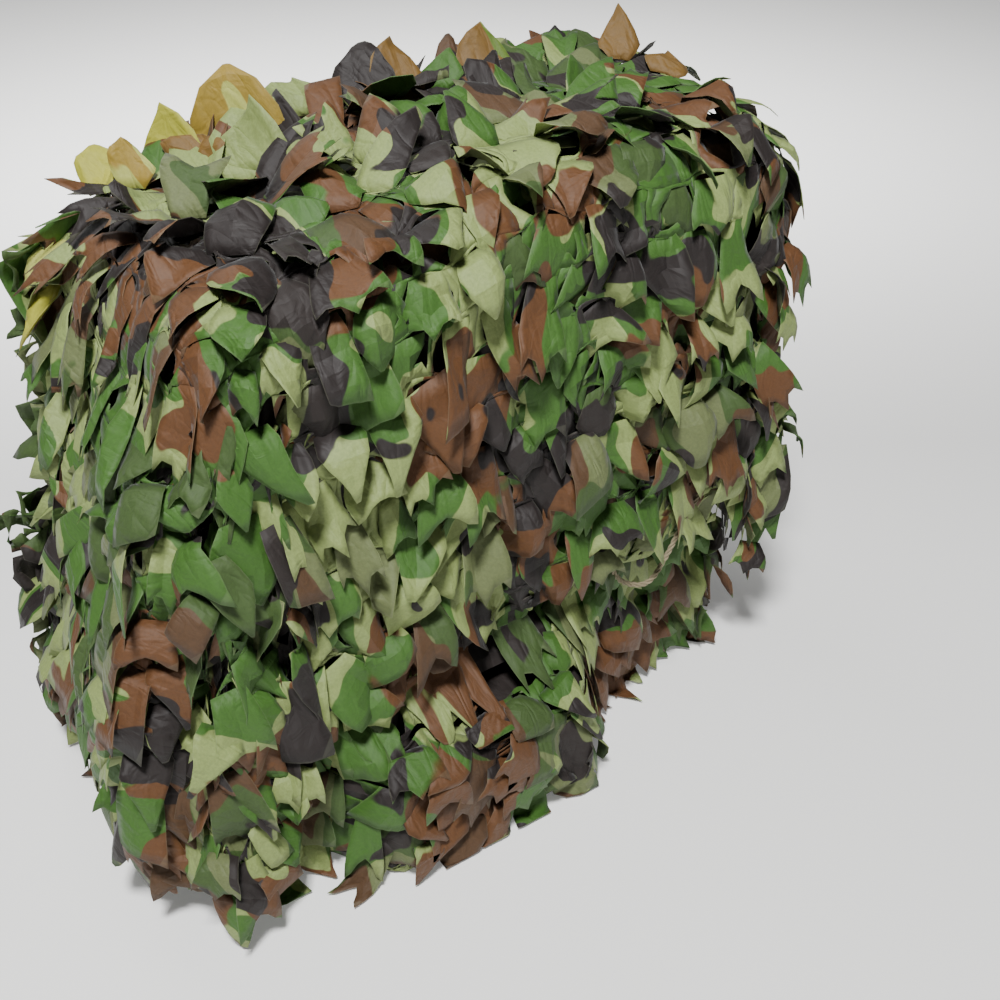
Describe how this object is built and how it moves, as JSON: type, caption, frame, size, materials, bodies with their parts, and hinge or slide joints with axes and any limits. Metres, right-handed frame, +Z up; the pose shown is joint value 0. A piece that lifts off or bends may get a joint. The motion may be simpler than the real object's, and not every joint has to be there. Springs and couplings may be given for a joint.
{
  "type": "camouflage net",
  "caption": "Leaf-cut camouflage net folded back and forth into a standing bundle, its last layer draped over the top, front and ends.",
  "frame": {"origin": "on the resting surface, under the middle of the bundle's box", "axes": "+X along the folds to the right of the front, +Z up; the draped front faces -Y"},
  "size_m": [0.6906, 0.3331, 0.5873],
  "materials": {
    "printed_polyester": "woven polyester, satin, printed with four-colour woodland blotches",
    "twisted_cord": "matt twisted cord"
  },
  "bodies": {
    "root": {"net_cloth": "printed_polyester", "edge_rope": "twisted_cord"}
  },
  "joints": []
}
